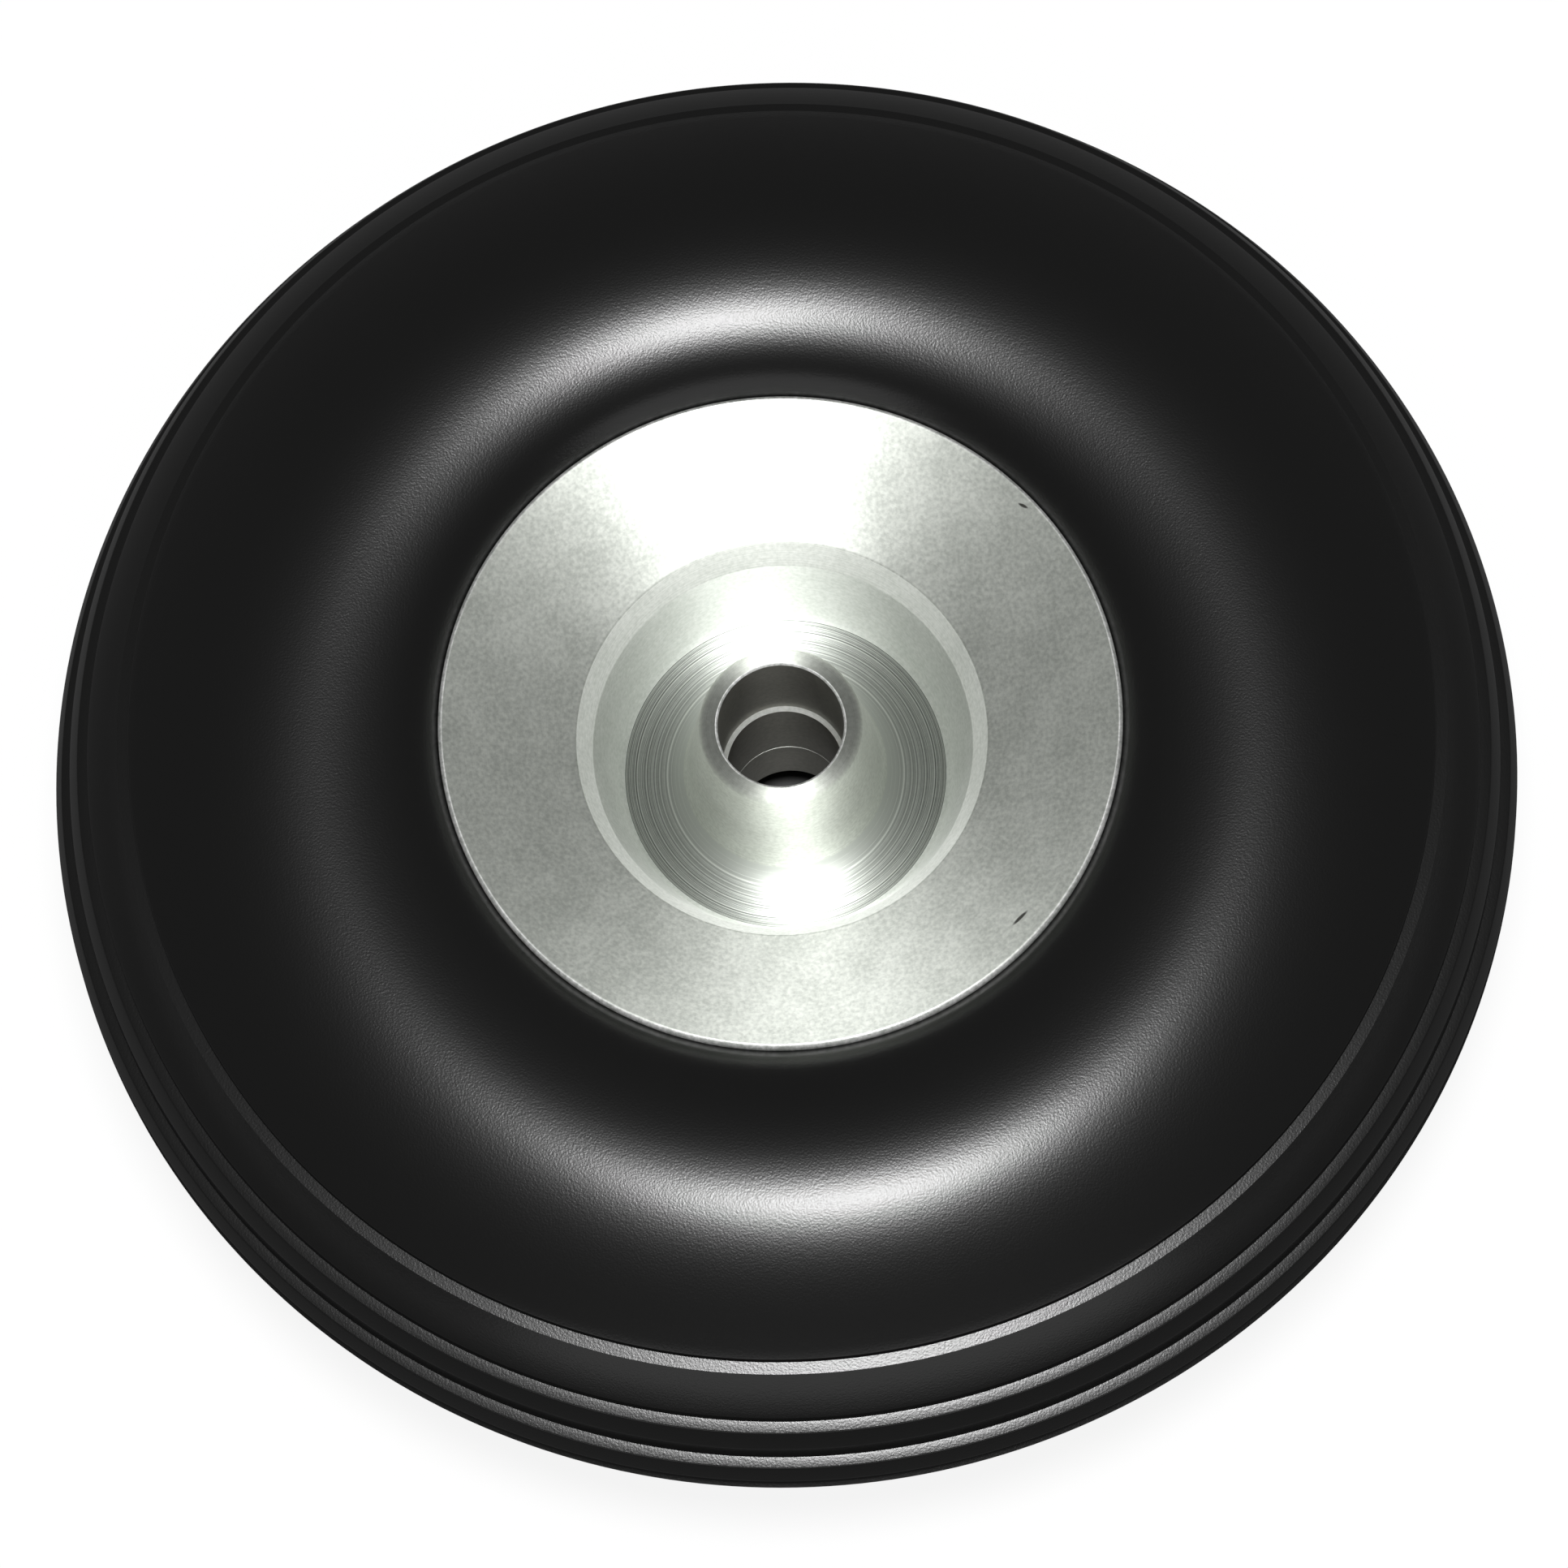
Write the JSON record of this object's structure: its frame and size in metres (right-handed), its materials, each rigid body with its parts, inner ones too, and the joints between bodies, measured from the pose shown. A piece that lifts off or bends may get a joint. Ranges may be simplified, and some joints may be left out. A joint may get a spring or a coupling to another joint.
{
  "type": "model aircraft wheel",
  "caption": "Solid black tyre with terraced shoulders on a split turned aluminium hub: dished flange, deep cup and central boss bored for a plain axle.",
  "frame": {"origin": "the wheel's centre, where the axle's line meets the tyre's middle plane", "axes": "+Z along the axle, out of the hub's dished outer face; +X and +Y across the wheel, +X through a hub screw"},
  "size_m": [0.076, 0.076, 0.024],
  "materials": {
    "tyre": "satin moulded",
    "hub": "fine turned",
    "screw": "plain"
  },
  "bodies": {
    "root": {"tyre": "tyre", "outer_hub_half": "hub", "inner_hub_half": "hub", "hub_screw_1": "screw", "hub_screw_2": "screw", "hub_screw_3": "screw", "hub_screw_4": "screw"}
  },
  "joints": []
}
